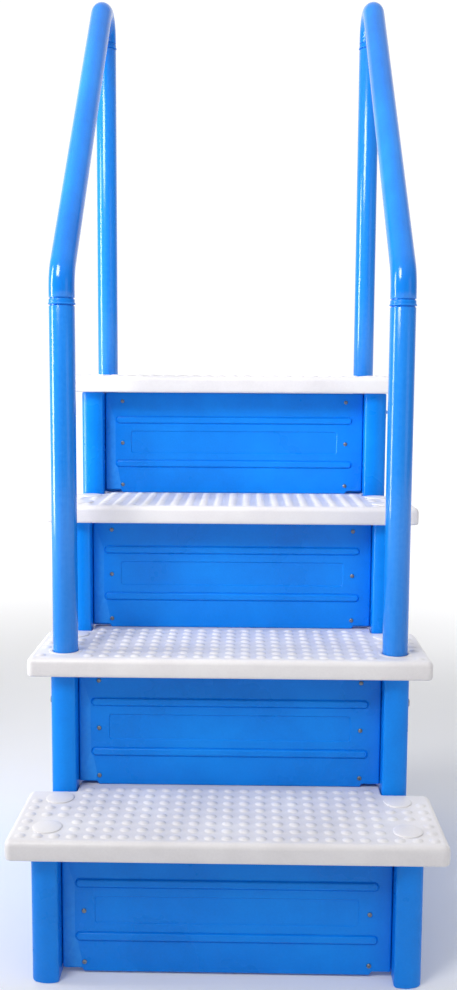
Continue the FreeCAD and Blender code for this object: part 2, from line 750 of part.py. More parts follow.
def add_group(label, solid, places):
    """Copies of a solid at (point, direction of its head), as one part."""
    copies = []
    for point, direction in places:
        turn = FreeCAD.Rotation(FreeCAD.Vector(0, 0, 1), FreeCAD.Vector(*direction))
        copy = solid.copy()
        copy.Placement = FreeCAD.Placement(FreeCAD.Vector(*[plain(item) for item in point]), turn)
        copies.append(copy)
    group = doc.addObject("Part::Feature", label)
    group.Label = label
    group.Shape = Part.makeCompound(copies)
    group.setExpression(".Placement.Base.y", (-unit_depth / 2).text)
    parts.append(group)


def make_fasteners():
    heads = []
    for step in steps:
        for side in SIDES.values():
            for height in screw_rows:
                point = (screw_x * side, tread_front(step) + riser_face, riser_foot(step) + height)
                heads.append((point, (0, -1, 0)))
    add_group("riser_screws", riser_screw(), heads)

    rail_bolts, flange_bolts, flange_nuts = [], [], []
    for side in SIDES.values():
        height = seat_top(rail_step) - S["rail_bolt_drop"]
        rail_bolts.append(((panel_outside * side, front_leg_y, height), (side, 0, 0)))
        height = deck_top + S["flange_bolt_height"]
        head, nut = rail_x + hub_foot, rail_x - hub_foot
        flange_bolts.append(((head * side, rear_leg_y, height), (side, 0, 0)))
        flange_nuts.append(((nut * side, rear_leg_y, height), (-side, 0, 0)))
    add_group("rail_bolts", hexagon_bolt(S["rail_bolt_length"]), rail_bolts)
    length = hub_foot * 2 + S["nut_height"] + S["flange_bolt_end"]
    add_group("flange_bolts", hexagon_bolt(length), flange_bolts)
    add_group("flange_nuts", hexagon_nut(), flange_nuts)


# The whole unit

for number in steps:
    make_tread(number)
    make_riser(number)
    for place in ("front", "rear"):
        for hand in SIDES:
            if (number, place) != (rail_step, "front"):
                make_plug(number, place, hand)

for hand, sign in SIDES.items():
    make_panel(hand)
    make_leg(f"front_leg_{hand}", sign, front_leg_y, seat_top(rail_step), S["front_joint"])
    make_leg_spigot(hand)
    make_collar(f"front_collar_{hand}", sign, front_leg_y, S["front_joint"], S["elbow_lead"])
    make_upper_rail(hand)
    make_collar(f"rear_collar_{hand}", sign, rear_leg_y, S["rear_joint"], S["crown_lead"])
    make_leg(f"rear_leg_{hand}", sign, rear_leg_y, rear_leg_foot, S["rear_joint"],
             S["flange_bolt_height"] - S["hub_floor"])
    make_flange(hand)
make_fasteners()
doc.recompute()


# Checks and export

for item in doc.Objects:
    if "Invalid" in item.State or "Error" in item.State:
        raise RuntimeError(f"{item.Label} did not build: {item.State}")
for part in parts:
    if part.Shape.isNull() or not part.Shape.isValid():
        raise RuntimeError(f"{part.Label} has no valid shape")

os.makedirs("parts", exist_ok=True)
for part in parts:
    part.Shape.exportStep(f"parts/{part.Label}.step")
    print(f"{part.Label}: {len(part.Shape.Solids)} solid(s), {part.Shape.Volume / 1000:.1f} cm3")
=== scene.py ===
import json
import math
from functools import lru_cache

import bmesh
import bpy
from mathutils import Matrix, Vector
from mathutils.geometry import delaunay_2d_cdt


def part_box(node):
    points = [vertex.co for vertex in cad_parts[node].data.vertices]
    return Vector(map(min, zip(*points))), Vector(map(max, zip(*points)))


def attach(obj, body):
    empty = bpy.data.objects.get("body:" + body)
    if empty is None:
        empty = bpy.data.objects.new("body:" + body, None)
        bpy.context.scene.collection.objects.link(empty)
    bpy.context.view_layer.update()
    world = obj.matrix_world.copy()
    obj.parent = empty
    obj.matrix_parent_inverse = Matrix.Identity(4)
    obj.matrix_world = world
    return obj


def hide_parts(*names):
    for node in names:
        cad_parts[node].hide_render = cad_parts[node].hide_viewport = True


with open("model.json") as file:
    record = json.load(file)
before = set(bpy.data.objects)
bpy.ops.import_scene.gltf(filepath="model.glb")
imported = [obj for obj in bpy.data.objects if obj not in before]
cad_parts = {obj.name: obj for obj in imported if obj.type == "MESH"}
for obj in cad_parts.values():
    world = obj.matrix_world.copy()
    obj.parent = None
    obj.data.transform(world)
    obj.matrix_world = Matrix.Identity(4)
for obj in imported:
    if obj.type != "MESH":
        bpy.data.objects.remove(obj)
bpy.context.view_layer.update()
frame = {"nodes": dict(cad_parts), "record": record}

# Finished pieces of a moulded pool step unit with two grab rails.
#
# Shapes are worked out in millimetres and turned to metres as each mesh is made. The places of the
# pieces come from the boxes of the frame's own nodes; the sizes within a piece are the constants
# that head its section.

MM = 0.001
SIDES = {"left": -1, "right": 1}
STEPS = range(1, 5)

slots = {part["node"]: part["material_slot"] for part in frame["record"]["subparts"]}


@lru_cache
def corners_of(node):
    """Lowest and highest corner of a frame node, in millimetres."""
    low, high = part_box(node)
    return low / MM, high / MM


def middle_of(node):
    low, high = corners_of(node)
    return (low + high) / 2


# ---------------------------------------------------------------------------------------------
# Outlines: closed, anticlockwise, given as functions of how far they are moved inwards
# ---------------------------------------------------------------------------------------------

def rounded(corners, radii, inset, arc_steps):
    """A polygon moved inwards, with an arc at each corner."""
    points = []
    for place, corner in enumerate(corners):
        here = Vector(corner)
        arriving = (here - Vector(corners[place - 1])).normalized()
        leaving = (Vector(corners[(place + 1) % len(corners)]) - here).normalized()
        turn = math.atan2(arriving.cross(leaving), arriving.dot(leaving))
        side = 1 if turn > 0 else -1
        normal_in = Vector((-arriving.y, arriving.x))
        normal_out = Vector((-leaving.y, leaving.x))
        moved = here + (normal_in + normal_out) * inset / (1 + normal_in.dot(normal_out))
        radius = max(radii[place] - inset * side, 0.05)
        start = moved - arriving * radius * math.tan(abs(turn) / 2)
        centre = start + normal_in * radius * side
        spoke = start - centre
        for step in range(arc_steps + 1):
            angle = turn * step / arc_steps
            points.append(centre + Vector((
                spoke.x * math.cos(angle) - spoke.y * math.sin(angle),
                spoke.x * math.sin(angle) + spoke.y * math.cos(angle))))
    return points


def polygon(corners, radii, arc_steps):
    return lambda inset: rounded(corners, radii, inset, arc_steps)


def rectangle(x0, y0, x1, y1, radius, arc_steps):
    return polygon([(x0, y0), (x1, y0), (x1, y1), (x0, y1)], [radius] * 4, arc_steps)


def disc(x, y, radius, count=24):
    def outline(inset):
        turns = [math.tau * step / count for step in range(count)]
        reach = radius - inset
        return [Vector((x + reach * math.cos(turn), y + reach * math.sin(turn))) for turn in turns]
    return outline


def quarter(radius, steps):
    """Stations (inset, height) of a rounded edge that ends level at height 0."""
    turns = [math.pi / 2 * step / steps for step in range(steps + 1)]
    return [(radius * (1 - math.cos(turn)), -radius * (1 - math.sin(turn))) for turn in turns]


# ---------------------------------------------------------------------------------------------
# Surfaces: rings of points, the bands between them and the flat areas inside them
# ---------------------------------------------------------------------------------------------

HOLD = 0.4  # width of the level strip that keeps a rounded edge's shading off the flat beside it


class Surface:
    """Points and faces of one piece, in millimetres. `place` turns (u, v, height) into x, y, z."""

    def __init__(self, place=lambda u, v, height: (u, v, height)):
        self.place = place
        self.points, self.flat, self.faces = [], [], []

    def ring(self, outline, inset, height):
        first = len(self.points)
        for point in outline(inset):
            self.points.append(Vector(self.place(point.x, point.y, height)))
            self.flat.append(point)
        return list(range(first, len(self.points)))

    def band(self, lower, upper):
        for place in range(len(lower)):
            following = (place + 1) % len(lower)
            self.faces.append((lower[place], lower[following], upper[following], upper[place]))

    def loft(self, outline, stations):
        """Joined rings at (inset, height) stations. Returns the first and the last ring."""
        rings = [self.ring(outline, *station) for station in stations]
        for lower, upper in zip(rings, rings[1:]):
            self.band(lower, upper)
        return rings[0], rings[-1]

    def tip(self, ring, height):
        """Closes a ring with a point above its middle."""
        middle = sum((self.flat[point] for point in ring), Vector((0, 0))) / len(ring)
        self.points.append(Vector(self.place(middle.x, middle.y, height)))
        self.flat.append(middle)
        top = len(self.points) - 1
        for place in range(len(ring)):
            self.faces.append((ring[place], ring[(place + 1) % len(ring)], top))

    def fill(self, outer, holes=()):
        """The flat area inside one ring and outside the others."""
        loops = [outer, *holes]
        order = [point for loop in loops for point in loop]
        outlines, start = [], 0
        for loop in loops:
            outlines.append(list(range(start, start + len(loop))))
            start += len(loop)
        flat = [self.flat[point] for point in order]
        # Output kind 1 gives triangles; each comes with the loops that it lies in.
        _, _, triangles, sources, _, owners = delaunay_2d_cdt(flat, [], outlines, 1, 1e-6, True)
        for triangle, owner in zip(triangles, owners):
            if list(owner) == [0]:
                self.faces.append(tuple(order[sources[point][0]] for point in triangle))

    def tube(self, outline, stations):
        """A loft whose last ring joins its first."""
        first, last = self.loft(outline, stations)
        self.band(last, first)


def boxed(surface, low, high, radius):
    """A strip with rounded edges, between two opposite corners given on the surface's own axes."""
    outline = rectangle(low[0], low[1], high[0], high[1], radius, 2)
    first, last = surface.loft(outline, [
        (radius, low[2]), (0, low[2] + radius), (0, high[2] - radius), (radius, high[2])])
    surface.fill(first)
    surface.fill(last)


def make_piece(name, surfaces, material, replaced, sharp=35):
    """Turns surfaces into one shown piece that stands for frame nodes.

    Edges that turn by more than `sharp` degrees keep a hard line.
    """
    mesh = bpy.data.meshes.new(name)
    points, faces = [], []
    for surface in surfaces:
        start = len(points)
        points += [point * MM for point in surface.points]
        faces += [tuple(start + point for point in face) for face in surface.faces]
    mesh.from_pydata(points, [], faces)
    built = bmesh.new()
    built.from_mesh(mesh)
    bmesh.ops.remove_doubles(built, verts=built.verts, dist=1e-7)
    bmesh.ops.dissolve_degenerate(built, edges=built.edges, dist=1e-7)
    bmesh.ops.recalc_face_normals(built, faces=built.faces)
    built.to_mesh(mesh)
    built.free()
    mesh.shade_smooth()
    mesh.set_sharp_from_angle(angle=math.radians(sharp))
    mesh.materials.append(material)
    piece = bpy.data.objects.new(name, mesh)
    bpy.context.scene.collection.objects.link(piece)
    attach(piece, "root")
    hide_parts(*replaced)


# ---------------------------------------------------------------------------------------------
# Materials
# ---------------------------------------------------------------------------------------------

def colour(code):
    """An sRGB hex code as linear red, green, blue and full alpha."""
    channels = [int(code[place:place + 2], 16) / 255 for place in (1, 3, 5)]
    linear = [c / 12.92 if c <= 0.04045 else ((c + 0.055) / 1.055) ** 2.4 for c in channels]
    return (*linear, 1.0)


def empty_material(name):
    """A material whose node tree is still to be made."""
    material = bpy.data.materials.new(name)
    material.use_nodes = True
    material.node_tree.nodes.clear()
    return material


def add_node(tree, kind, inputs=None, **settings):
    """A node with its settings, its socket values and the links into it."""
    made = tree.nodes.new(kind)
    for name, value in settings.items():
        setattr(made, name, value)
    for socket, value in (inputs or {}).items():
        if isinstance(value, bpy.types.NodeSocket):
            tree.links.new(value, made.inputs[socket])
        else:
            made.inputs[socket].default_value = value
    return made


def per_metre(millimetres):
    """Scale of a pattern whose features are this far apart."""
    return 1 / (millimetres * MM)


def moulded_plastic(name, tones, edge_wear_and_highlight, roughness, grain, swirl, specular, stretch=(1, 1, 1)):
    """A pigmented plastic surface.

    tones are the darker, usual and lighter colour of the flow marks. The fourth argument is the
    colour that convex edges turn towards, partly scuffing and partly a painted highlight. roughness
    is its two limits, grain the millimetres and depth of the mould's texture, and swirl the
    millimetres and depth of the slow waves left by cooling. stretch draws every pattern out along
    an axis.
    """
    material = empty_material(name)
    tree = material.node_tree
    where = add_node(tree, "ShaderNodeTexCoord").outputs["Object"]
    drawn = add_node(tree, "ShaderNodeMapping", {"Vector": where, "Scale": stretch}).outputs[0]
    flow = add_node(tree, "ShaderNodeTexNoise", {
        "Vector": drawn, "Scale": per_metre(swirl[0] * 2.5), "Detail": 4.0, "Roughness": 0.55})
    fleck = add_node(tree, "ShaderNodeTexNoise", {
        "Vector": drawn, "Scale": per_metre(grain[0] * 2.2), "Detail": 2.0})
    marks = add_node(tree, "ShaderNodeMix", {
        "Factor": 0.2, "A": flow.outputs[0], "B": fleck.outputs[0]}, data_type="FLOAT")
    tone = add_node(tree, "ShaderNodeValToRGB", {"Fac": marks.outputs[0]})
    ramp = tone.color_ramp
    ramp.elements[0].position, ramp.elements[0].color = 0.34, colour(tones[0])
    ramp.elements[1].position, ramp.elements[1].color = 0.66, colour(tones[2])
    ramp.elements.new(0.5).color = colour(tones[1])

    # Convex edges are a little lighter, in patches: partly scuffing from feet, hands and crates,
    # and partly a painted highlight along the edges. In a colour mix, sockets 0, 6 and
    # 7 are the factor and the two colours, and output 2 is the result.
    edge = add_node(tree, "ShaderNodeMapRange", {
        "Value": add_node(tree, "ShaderNodeNewGeometry").outputs["Pointiness"],
        "From Min": 0.52, "From Max": 0.62, "To Min": 0.0, "To Max": 0.75})
    edge_patch_noise = add_node(tree, "ShaderNodeTexNoise", {
        "Vector": where, "Scale": per_metre(9), "Detail": 5.0})
    wear_and_highlight_mask = add_node(tree, "ShaderNodeMath", {0: edge.outputs[0], 1: edge_patch_noise.outputs[0]},
                      operation="MULTIPLY", use_clamp=True)
    paint = add_node(tree, "ShaderNodeMix", {
        0: wear_and_highlight_mask.outputs[0], 6: tone.outputs[0], 7: colour(edge_wear_and_highlight)}, data_type="RGBA")

    # Gloss varies with the flow of the plastic, and the scuffed, lightened edges are duller.
    sheen = add_node(tree, "ShaderNodeMapRange", {
        "Value": flow.outputs[0], "From Min": 0.3, "From Max": 0.7,
        "To Min": roughness[0], "To Max": roughness[1]})
    dulled = add_node(tree, "ShaderNodeMath", {
        0: wear_and_highlight_mask.outputs[0], 1: 0.18, 2: sheen.outputs[0]}, operation="MULTIPLY_ADD")

    wave = add_node(tree, "ShaderNodeTexNoise", {
        "Vector": drawn, "Scale": per_metre(swirl[0]), "Detail": 2.0, "Roughness": 0.4})
    texture = add_node(tree, "ShaderNodeTexNoise", {
        "Vector": drawn, "Scale": per_metre(grain[0]), "Detail": 3.0, "Roughness": 0.6})
    slow = add_node(tree, "ShaderNodeBump", {
        "Height": wave.outputs[0], "Distance": swirl[1] * MM, "Strength": 1.0})
    fine = add_node(tree, "ShaderNodeBump", {
        "Height": texture.outputs[0], "Distance": grain[1] * MM, "Strength": 1.0,
        "Normal": slow.outputs[0]})
    shader = add_node(tree, "ShaderNodeBsdfPrincipled", {
        "Base Color": paint.outputs[2],
        "Roughness": dulled.outputs[0], "IOR": 1.51, "Specular IOR Level": specular,
        "Normal": fine.outputs[0]})
    add_node(tree, "ShaderNodeOutputMaterial", {"Surface": shader.outputs[0]})
    return material


# The fourth colour of each plastic below is the tint of its convex edges: part scuffing, part
# painted highlight.
# Treads and plugs: white polyethylene with a satin mould finish. It is bright with a faint lilac
# cast, and its highlights are broad and soft.
white_polyethylene = moulded_plastic(
    "white_polyethylene_moulded", ("#DEDBDD", "#E5E2E4", "#EBE9EA"), "#F6F6F9",
    roughness=(0.30, 0.42), grain=(1.6, 0.012), swirl=(50, 0.08), specular=0.4)

# Side panels, risers and flanges: blue polyethylene, blown against a polished mould. It is glossy,
# and its slow waves bend the reflections.
blue_polyethylene = moulded_plastic(
    "blue_polyethylene_blow_moulded", ("#007AE0", "#0083EC", "#028CF4"), "#50B4FA",
    roughness=(0.24, 0.34), grain=(1.8, 0.012), swirl=(70, 0.12), specular=0.22)

# Rail tubes: blue PVC pipe. The die that it was drawn through leaves fine lengthwise lines under a
# high gloss.
blue_pvc = moulded_plastic(
    "blue_pvc_extruded", ("#0072D6", "#007CE2", "#0286EA"), "#58B8FC",
    roughness=(0.12, 0.2), grain=(1.4, 0.006), swirl=(40, 0.05), specular=0.5,
    stretch=(1, 1, 0.04))

# Collars: blue nylon, injection moulded, a little duller than the tubes. The leg spigots inside
# the front legs are of it too.
blue_nylon = moulded_plastic(
    "blue_nylon_moulded", ("#0070D2", "#007ADE", "#0284E8"), "#50B4FA",
    roughness=(0.26, 0.36), grain=(1.2, 0.02), swirl=(20, 0.06), specular=0.3)


def turned_stainless():
    """A2 stainless steel, turned and tumbled: dull grey with fine rings and small bright nicks."""
    material = empty_material("stainless_steel_turned")
    tree = material.node_tree
    where = add_node(tree, "ShaderNodeTexCoord").outputs["Object"]
    drawn = add_node(tree, "ShaderNodeMapping", {"Vector": where, "Scale": (1, 6, 1)}).outputs[0]
    rings = add_node(tree, "ShaderNodeTexNoise", {
        "Vector": drawn, "Scale": per_metre(0.8), "Detail": 4.0})
    stain = add_node(tree, "ShaderNodeTexNoise", {
        "Vector": where, "Scale": per_metre(6), "Detail": 5.0})
    tone = add_node(tree, "ShaderNodeValToRGB", {"Fac": stain.outputs[0]})
    dark, light = tone.color_ramp.elements
    dark.position, dark.color = 0.3, colour("#7C7E82")
    light.position, light.color = 0.7, colour("#A6A7AA")
    dull = add_node(tree, "ShaderNodeMapRange", {
        "Value": rings.outputs[0], "From Min": 0.3, "From Max": 0.7,
        "To Min": 0.28, "To Max": 0.46})
    relief = add_node(tree, "ShaderNodeBump", {
        "Height": rings.outputs[0], "Distance": 0.02 * MM, "Strength": 1.0})
    shader = add_node(tree, "ShaderNodeBsdfPrincipled", {
        "Base Color": tone.outputs[0], "Metallic": 1.0, "Roughness": dull.outputs[0],
        "Normal": relief.outputs[0]})
    add_node(tree, "ShaderNodeOutputMaterial", {"Surface": shader.outputs[0]})
    return material


stainless_steel = turned_stainless()

finishes = {
    "white_moulding": white_polyethylene,
    "blue_moulding": blue_polyethylene,
    "blue_tube": blue_pvc,
    "blue_collar": blue_nylon,
    "stainless_fastener": stainless_steel,
}
# The leg spigots are out of sight inside the front legs. They have no finished piece, so the
# frame's own nodes are shown. Every node is given the finish of its slot.
for node_name, node_object in frame["nodes"].items():
    node_object.data.materials.clear()
    node_object.data.materials.append(finishes[slots[node_name]])


# ---------------------------------------------------------------------------------------------
# Shared sizes, in millimetres
# ---------------------------------------------------------------------------------------------

leg_low, leg_high = corners_of("front_leg_right")
TUBE = (leg_high.x - leg_low.x) / 2         # outside radius of the rail tubes
TUBE_WALL = 3.2
BORE = TUBE - TUBE_WALL
SPIGOT = BORE - 0.15                        # radius of what slides into a tube
SPIGOT_BORE = SPIGOT - 3
SOCKET = TUBE + 0.6                         # radius of the holes that take a tube or a plug
ROUND = 64                                  # points round a tube

RAIL_X = middle_of("front_leg_right").x
FRONT_LEG_Y = middle_of("front_leg_right").y
REAR_LEG_Y = middle_of("rear_leg_right").y

panel_low, panel_high = corners_of("side_panel_right")
PANEL_OUTSIDE = panel_high.x
PANEL_THICKNESS = 48
PANEL_INSIDE = PANEL_OUTSIDE - PANEL_THICKNESS

TREAD_RUN = 203
TREAD_THICKNESS = 36
NOSING = 20                                 # how far a tread stands out before its riser
BUMP_HEIGHT = 3


def tread_underside(step):
    return corners_of(f"tread_{step}")[1].z - BUMP_HEIGHT - TREAD_THICKNESS


def panel_front(step):
    """Where the side panels' front stands under a tread."""
    return corners_of(f"tread_{step}")[0].y + NOSING


# ---------------------------------------------------------------------------------------------
# Treads
# ---------------------------------------------------------------------------------------------

TREAD_EDGE = 11                             # radius of the rounded upper edge
TREAD_SKIN = 5
TREAD_FOOT = [(4.2, 0), (3.0, 0.25), (1.6, 1.0), (0.6, 2.4), (0.1, 4.4), (0.0, 7.0)]
WING_DEPTH = 222

BUMP_PITCH = 29.7
BUMP_RADIUS = 9.5
BUMP_DOME = [
    (-0.9, 0.0), (-0.2, 0.12), (0.5, 0.5), (1.7, 1.2), (3.4, 1.95), (5.6, 2.6), (7.8, 2.92)]
FIRST_BUMP = 24                             # from the tread's front edge
BUMP_COLUMNS = range(-12, 13)
BUMP_ROWS = range(8)

SOCKET_ROWS = (("front", 60), ("rear", 188))    # from the tread's front edge
LEG_CLEARANCE = 44                          # bumps stay this far from a socket with a raised ring
PLUG_CLEARANCE = 37                         # and this far from one with a plug
LEG_LIP = [(-7.9, 0), (-7.5, 0), (-6.9, 0.5), (-6.1, 1.0), (-5.0, 1.2), (-1.4, 1.2), (-0.6, 0.9)]
PLUG_LIP = [(-1.2, 0), (-0.8, 0)]

# Pockets in the underside
RIBS = (-224, -112, 0, 112, 224)            # middles of the ribs that run front to back
RIB_HALF = 2
FRONT_ROW, REAR_ROW = 122, 126              # rear and front edge of the two rows of pockets
OUTER_RIM, REAR_RIM, TONGUE_RIM = 10, 6, 8
WING_POCKET_SIDE, WING_POCKET_REAR = 346, 213


def tread_outline(front, half_width, half_tongue, depth):
    """The edges in view are moved in fully, the ones by the next riser only slightly."""
    def outline(inset):
        slight = inset / 4
        near, wing, rear = front + inset, front + WING_DEPTH - slight, front + depth - slight
        side, tongue = half_width - inset, half_tongue - slight
        right = [(side, near), (side, wing), (tongue, wing), (tongue, rear)]
        radii = [max(14 - inset, 2), max(12 - inset, 2), 3 + slight, 10 - slight]
        corners = right + [(-x, y) for x, y in reversed(right)]
        return rounded(corners, radii + radii[::-1], 0, 6)
    return outline


def bump_places(front, depth, half_tongue, sockets):
    """Centres of the bumps that clear the sockets and the tread's edges."""
    reach = BUMP_RADIUS + 1
    for column in BUMP_COLUMNS:
        for row in BUMP_ROWS:
            x = column * BUMP_PITCH
            y = FIRST_BUMP + row * BUMP_PITCH
            on_wing = abs(x) > half_tongue - TREAD_EDGE - reach
            rear = WING_DEPTH if on_wing else depth
            clear = all(math.hypot(x - px, y - py) > kept for px, py, kept in sockets)
            if clear and y + reach < rear - TREAD_EDGE:
                yield x, front + y


def sink_pocket(surface, side, near, far, y0, y1, foot):
    """A pocket in the underside, between two places across one side. Returns its mouth."""
    roof = -TREAD_SKIN
    x0, x1 = sorted((side * near, side * far))
    first, last = surface.loft(rectangle(x0, y0, x1, y1, 4, 4), [
        (-0.5, foot), (0, foot + 0.6), (1.0, roof - 3), (2.0, roof - 0.8), (3.2, roof),
        (3.6, roof)])
    surface.fill(last)
    return first


def make_tread(step):
    node = f"tread_{step}"
    low, high = corners_of(node)
    front, top, half_width = low.y, high.z - BUMP_HEIGHT, high.x
    depth = high.y - low.y
    half_tongue = PANEL_INSIDE - 1
    foot = -TREAD_THICKNESS
    surface = Surface(lambda u, v, height: (u, v, top + height))
    bottom, crown = surface.loft(tread_outline(front, half_width, half_tongue, depth), [
        *((inset, foot + rise) for inset, rise in TREAD_FOOT), *quarter(TREAD_EDGE, 7),
        (TREAD_EDGE + HOLD, 0)])

    # Sockets right through, for the plugs or the front legs
    sockets = []
    for side in SIDES.values():
        for row, y in SOCKET_ROWS:
            has_leg = f"tread_plug_{step}_{row}_left" not in slots
            sockets.append((side * RAIL_X, y, LEG_CLEARANCE if has_leg else PLUG_CLEARANCE))
    top_holes, bottom_holes = [], []
    for x, y, kept in sockets:
        lip = LEG_LIP if kept == LEG_CLEARANCE else PLUG_LIP
        first, last = surface.loft(disc(x, front + y, SOCKET, ROUND), [
            *lip, (0, -0.6), (0, foot + 0.8), (-0.8, foot)])
        top_holes.append(first)
        bottom_holes.append(last)
    for x, y in bump_places(front, depth, half_tongue, sockets):
        first, last = surface.loft(disc(x, y, BUMP_RADIUS, 16), BUMP_DOME)
        surface.tip(last, BUMP_HEIGHT)
        top_holes.append(first)
    surface.fill(crown, top_holes)

    # Pockets below leave the rim, the socket walls and the ribs standing
    pocket_rows = [(front + OUTER_RIM, front + FRONT_ROW),
                   (front + REAR_ROW, front + depth - REAR_RIM)]
    for y0, y1 in pocket_rows:
        for x0, x1 in zip(RIBS, RIBS[1:]):
            bottom_holes.append(
                sink_pocket(surface, 1, x0 + RIB_HALF, x1 - RIB_HALF, y0, y1, foot))
        for side in SIDES.values():
            bottom_holes.append(sink_pocket(
                surface, side, RIBS[-1] + RIB_HALF, half_tongue - TONGUE_RIM, y0, y1, foot))
            bottom_holes.append(sink_pocket(
                surface, side, WING_POCKET_SIDE, half_width - OUTER_RIM,
                y0, min(y1, front + WING_POCKET_REAR), foot))
    surface.fill(bottom, bottom_holes)
    make_piece(f"tread_{step}_shell", [surface], white_polyethylene, [node])


PLUG_CROWN = 3.5                            # how far a plug's head stands above the tread
PLUG_ROOF = -3                              # top of the hollow in its stem
PLUG_DOME = [(0, 0.15), (0, 1.15), (0.3, 1.6), (0.9, 1.95), (2.2, 2.3), (6, 2.8), (11, 3.25),
             (17, 3.5), (22, 3.6)]
PLUG_TIP = 3.65


def make_plug(node):
    """A domed cap whose stem fills a tread's socket and, thinner, a panel's."""
    low, high = corners_of(node)
    middle = (low + high) / 2
    top = high.z - PLUG_CROWN
    surface = Surface(lambda u, v, height: (u, v, top + height))
    head = (high.x - low.x) / 2
    stem = head - TUBE
    neck = head - SPIGOT
    inner = head - SPIGOT_BORE
    seat, tip = 1 - TREAD_THICKNESS, low.z - top
    first, last = surface.loft(disc(middle.x, middle.y, head, ROUND), [
        (head - 0.8, PLUG_ROOF), (inner, PLUG_ROOF), (inner, tip + 0.4), (inner - 0.4, tip),
        (neck + 1.2, tip), (neck, tip + 1.6), (neck, seat), (stem + 0.3, seat),
        (stem, seat + 0.3), (stem, 0.0), (stem - 0.4, 0.15), *PLUG_DOME])
    surface.tip(first, PLUG_ROOF)
    surface.tip(last, PLUG_TIP)
    make_piece(f"cap_{node[len('tread_plug_'):]}", [surface], white_polyethylene, [node])


# ---------------------------------------------------------------------------------------------
# Risers
# ---------------------------------------------------------------------------------------------

RISER_DEPTH = 22
RISER_WALL = 4
RISER_HEIGHT = 227
NOTCH_WIDTH, NOTCH_HEIGHT, NOTCH_SLOPE = 38, 6, 4   # cut from both lower corners

SWAGE_ROWS = (66, 165)                      # heights of the two raised ribs
SWAGE_HALF_LENGTH, SWAGE_HALF_BREADTH = 266, 7
SWAGE_HEIGHT = 3
FIELD_HALF_LENGTH = 233                     # the sunk field between the ribs
FIELD_FOOT, FIELD_TOP = 90.5, 140.5

SCREW_X = PANEL_INSIDE - 40
SCREW_ROWS = (18, 113, 207)
SCREW_HOLE, SCREW_BOSS = 2.3, 4.6           # radii
SCREW_SEAT = 0.5                            # how far the heads are let into the face
SCREW_LENGTH = 26


def riser_face(step):
    return corners_of(f"riser_{step}")[0].y + SWAGE_HEIGHT


def make_riser(step):
    node = f"riser_{step}"
    low, high = corners_of(node)
    face, foot, half = riser_face(step), low.z, high.x
    surface = Surface(lambda u, v, height: (u, face - height, foot + v))
    notch = half - NOTCH_WIDTH
    outline = polygon(
        [(-notch, 0), (notch, 0), (notch + NOTCH_SLOPE, NOTCH_HEIGHT), (half, NOTCH_HEIGHT),
         (half, RISER_HEIGHT), (-half, RISER_HEIGHT), (-half, NOTCH_HEIGHT),
         (-notch - NOTCH_SLOPE, NOTCH_HEIGHT)], [2.5, 2.5, 2, 3, 5, 5, 3, 2], 4)
    rim, wall = -RISER_DEPTH, RISER_WALL
    first, crown = surface.loft(outline, [
        (0.5, rim), (0, rim + 0.6), (0, -3.2), (0.12, -2.3), (0.5, -1.4), (1.1, -0.65),
        (2.0, -0.15), (3.0, 0), (3.0 + HOLD, 0)])
    back_rim, tray = surface.loft(outline, [
        (wall - 0.5, rim), (wall, rim + 0.6), (wall + 0.2, -wall - 0.8), (wall + 0.4, -wall - 0.2),
        (wall + 0.9, -wall), (wall + 1.2, -wall)])
    surface.band(first, back_rim)

    front_holes, back_holes = [], []
    for height in SWAGE_ROWS:
        length, breadth = SWAGE_HALF_LENGTH, SWAGE_HALF_BREADTH
        swage = rectangle(-length, height - breadth, length, height + breadth, 6.95, 8)
        base, ridge = surface.loft(swage, [
            (-2.8, 0), (-2.4, 0), (-1.9, -0.25), (-1.4, -0.8), (-0.8, -1.0), (-0.2, -0.7),
            (0.1, 0), (0.5, 1.2), (1.1, 2.1), (2.0, 2.7), (3.0, SWAGE_HEIGHT),
            (3.4, SWAGE_HEIGHT)])
        surface.fill(ridge)
        front_holes.append(base)
        length, breadth = length - 2, breadth - 2
        behind = rectangle(-length, height - breadth, length, height + breadth, 4.9, 6)
        base, ridge = surface.loft(behind, [
            (-0.8, -wall), (-0.4, -wall), (0.4, -wall + 0.8), (1.6, -wall + 2.4),
            (2.6, -wall + 2.8)])
        surface.fill(ridge)
        back_holes.append(base)
    field = rectangle(-FIELD_HALF_LENGTH, FIELD_FOOT, FIELD_HALF_LENGTH, FIELD_TOP, 6, 6)
    base, floor = surface.loft(field, [
        (-1.2, 0), (-0.8, 0), (-0.3, -0.15), (0.1, -0.6), (0.6, -1.4), (1.0, -1.8), (1.6, -2.0),
        (2.0, -2.0)])
    surface.fill(floor)
    front_holes.append(base)

    for side in SIDES.values():
        for height in SCREW_ROWS:
            x = side * SCREW_X
            mouth, inner = surface.loft(disc(x, height, SCREW_HOLE), [
                (-3.4, 0), (-3.0, 0), (-2.6, -0.25), (-0.4, -SCREW_SEAT), (0, -0.8),
                (0, rim + 0.8)])
            root, end = surface.loft(disc(x, height, SCREW_BOSS), [
                (-0.7, -wall), (-0.4, -wall), (0, -wall - 0.6), (0.2, rim + 1.2),
                (0.6, rim + 0.8)])
            surface.band(end, inner)
            front_holes.append(mouth)
            back_holes.append(root)
    surface.fill(crown, front_holes)
    surface.fill(tray, back_holes)
    make_piece(f"riser_{step}_tray", [surface], blue_polyethylene, [node])


def cross_recess(surface, arm, level, depth):
    """A cross-shaped driver recess. Returns its mouth."""
    slot = arm * 0.3
    corners = [(arm, -slot), (arm, slot), (slot, slot), (slot, arm), (-slot, arm), (-slot, slot),
               (-arm, slot), (-arm, -slot), (-slot, -slot), (-slot, -arm), (slot, -arm),
               (slot, -slot)]
    mouth, floor = surface.loft(polygon(corners, [0.12] * len(corners), 1), [
        (-0.05, level), (0.02, level - 0.1), (0.12, level - depth)])
    surface.fill(floor)
    return mouth


